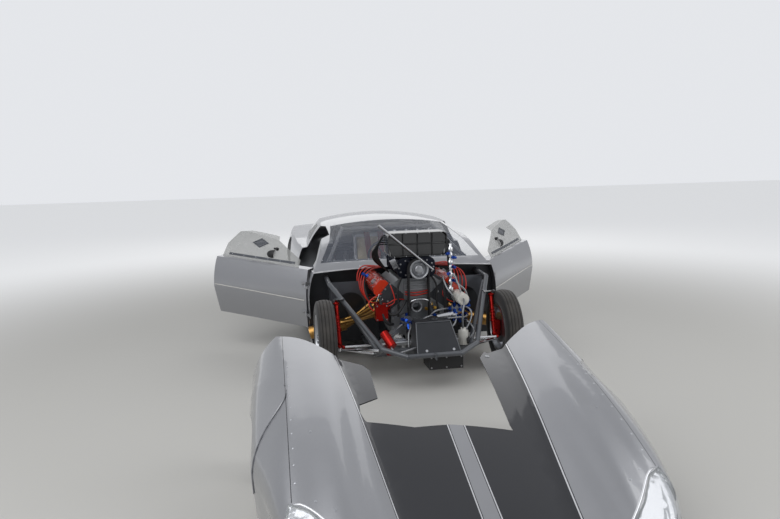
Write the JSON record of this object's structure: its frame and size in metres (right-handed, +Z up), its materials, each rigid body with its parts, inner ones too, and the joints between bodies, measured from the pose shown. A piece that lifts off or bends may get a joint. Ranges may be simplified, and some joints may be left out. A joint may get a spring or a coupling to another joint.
{
  "type": "drag racing car",
  "caption": "Door-slammer drag racing car with a tube frame, blown V engine, open doors, wheelie bars and its loose one-piece front clip.",
  "frame": {"origin": "on the floor under the middle of the whole object, the loose front clip and the wheelie bars included", "axes": "+Z up, +Y from the nose toward the tail, +X toward the left side of the car"},
  "size_m": [3.3859, 7.9347, 1.2931],
  "materials": {
    "body_paint": "gloss",
    "window": "clear",
    "frame_paint": "satin",
    "sheet": "satin",
    "bare_alloy": "satin",
    "engine_alloy": "satin",
    "cover_paint": "gloss",
    "blower_finish": "gloss",
    "hat_finish": "gloss",
    "belt_rubber": "matte",
    "steel": "satin",
    "chrome": "polished",
    "red_anodised": "gloss",
    "tyre": "matte",
    "exhaust_steel": "satin",
    "black_plastic": "matte",
    "seat_cover": "matte",
    "white_plastic": "gloss",
    "red_lens": "gloss",
    "lamp_lens": "clear",
    "pack_fabric": "matte"
  },
  "bodies": {
    "body": {"accessory_boxes": "red_anodised", "battery_box": "black_plastic", "belt_bar": "steel", "blower_belt": "belt_rubber", "blower_case": "blower_finish", "blower_pulleys": "bare_alloy", "chassis_frame": "frame_paint", "cowl_and_rockers": "body_paint", "dash_panel": "sheet", "door_hinges": "steel", "driveline": "engine_alloy", "engine_block": "engine_alloy", "exhausts": "exhaust_steel", "floor_and_firewall": "sheet", "front_arms": "chrome", "front_frame": "frame_paint", "front_plates": "bare_alloy", "fuel_stack": "chrome", "fuel_tank": "sheet", "greenhouse": "body_paint", "injector_hat": "hat_finish", "inner_panels": "sheet", "intake_manifold": "engine_alloy", "parachute_mount": "steel", "parachutes": "pack_fabric", "rack_housing": "bare_alloy", "rear_axle": "frame_paint", "rear_body": "body_paint", "rear_suspension": "steel", "rear_windows": "window", "roll_cage": "frame_paint", "seat": "bare_alloy", "seat_pad": "seat_cover", "small_tanks": "white_plastic", "steering_column": "steel", "tail_lamps": "red_lens", "valve_covers": "cover_paint", "wheel_tubs": "bare_alloy", "wheelie_bars": "frame_paint", "windshield": "window"},
    "door_l": {"door_left": "body_paint", "door_window_left": "window"},
    "door_r": {"door_right": "body_paint", "door_window_right": "window"},
    "clip": {"front_clip": "body_paint", "headlamps": "lamp_lens"},
    "steer_l": {"knuckle_left": "red_anodised"},
    "steer_r": {"knuckle_right": "red_anodised"},
    "rack": {"rack_bar": "chrome"},
    "hand_wheel": {"steering_wheel": "black_plastic"},
    "wheel_fl": {"wheel_front_left": "bare_alloy", "tyre_front_left": "tyre"},
    "wheel_fr": {"wheel_front_right": "bare_alloy", "tyre_front_right": "tyre"},
    "rear_wheels": {"wheels_rear": "bare_alloy", "tyres_rear": "tyre"},
    "wheelie_l": {"wheelie_wheel_left": "black_plastic"},
    "wheelie_r": {"wheelie_wheel_right": "black_plastic"}
  },
  "joints": [
    {"name": "door_left", "type": "hinge", "parent": "body", "child": "door_l", "pos_m": [0.991, 0.16, 0.5], "axis": [0, 0, 1], "range_deg": [-15, 40]},
    {"name": "door_right", "type": "hinge", "parent": "body", "child": "door_r", "pos_m": [-0.821, 0.16, 0.5], "axis": [0, 0, -1], "range_deg": [-15, 50]},
    {"name": "front_clip_lift", "type": "slide", "parent": "body", "child": "clip", "axis": [0, 0, 1], "range_m": [0, 0.5]},
    {"name": "steer", "type": "hinge", "parent": "body", "child": "steer_l", "pos_m": [0.761, -0.5, 0.285], "axis": [0.021, 0.3154, 0.9487], "range_deg": [-12, 12]},
    {"name": "steer_right", "type": "hinge", "parent": "body", "child": "steer_r", "pos_m": [-0.591, -0.5, 0.285], "axis": [-0.021, 0.3154, 0.9487], "range_deg": [-12, 12]},
    {"name": "steer_rack", "type": "slide", "parent": "body", "child": "rack", "axis": [1, 0, 0], "range_m": [-0.03, 0.03]},
    {"name": "steering_wheel", "type": "hinge", "parent": "body", "child": "hand_wheel", "pos_m": [0.01, 0.69, 0.85], "axis": [0, 0.9292, 0.3697], "range_deg": [-130, 130]},
    {"name": "wheel_front_left", "type": "hinge", "parent": "steer_l", "child": "wheel_fl", "pos_m": [0.875, -0.44, 0.33], "axis": [1, 0, 0], "continuous": true},
    {"name": "wheel_front_right", "type": "hinge", "parent": "steer_r", "child": "wheel_fr", "pos_m": [-0.705, -0.44, 0.33], "axis": [1, 0, 0], "continuous": true},
    {"name": "rear_wheels", "type": "hinge", "parent": "body", "child": "rear_wheels", "pos_m": [0.085, 2.38, 0.438], "axis": [1, 0, 0], "continuous": true},
    {"name": "wheelie_wheel_left", "type": "hinge", "parent": "body", "child": "wheelie_l", "pos_m": [0.386, 3.89, 0.13], "axis": [1, 0, 0], "continuous": true},
    {"name": "wheelie_wheel_right", "type": "hinge", "parent": "body", "child": "wheelie_r", "pos_m": [-0.216, 3.89, 0.13], "axis": [1, 0, 0], "continuous": true}
  ],
  "couplings": [
    {"joint": "steer_right", "follows": "steer", "ratio": 1},
    {"joint": "steer_rack", "follows": "steer", "m_per_rad": 0.136},
    {"joint": "steering_wheel", "follows": "steer", "ratio": 10}
  ]
}
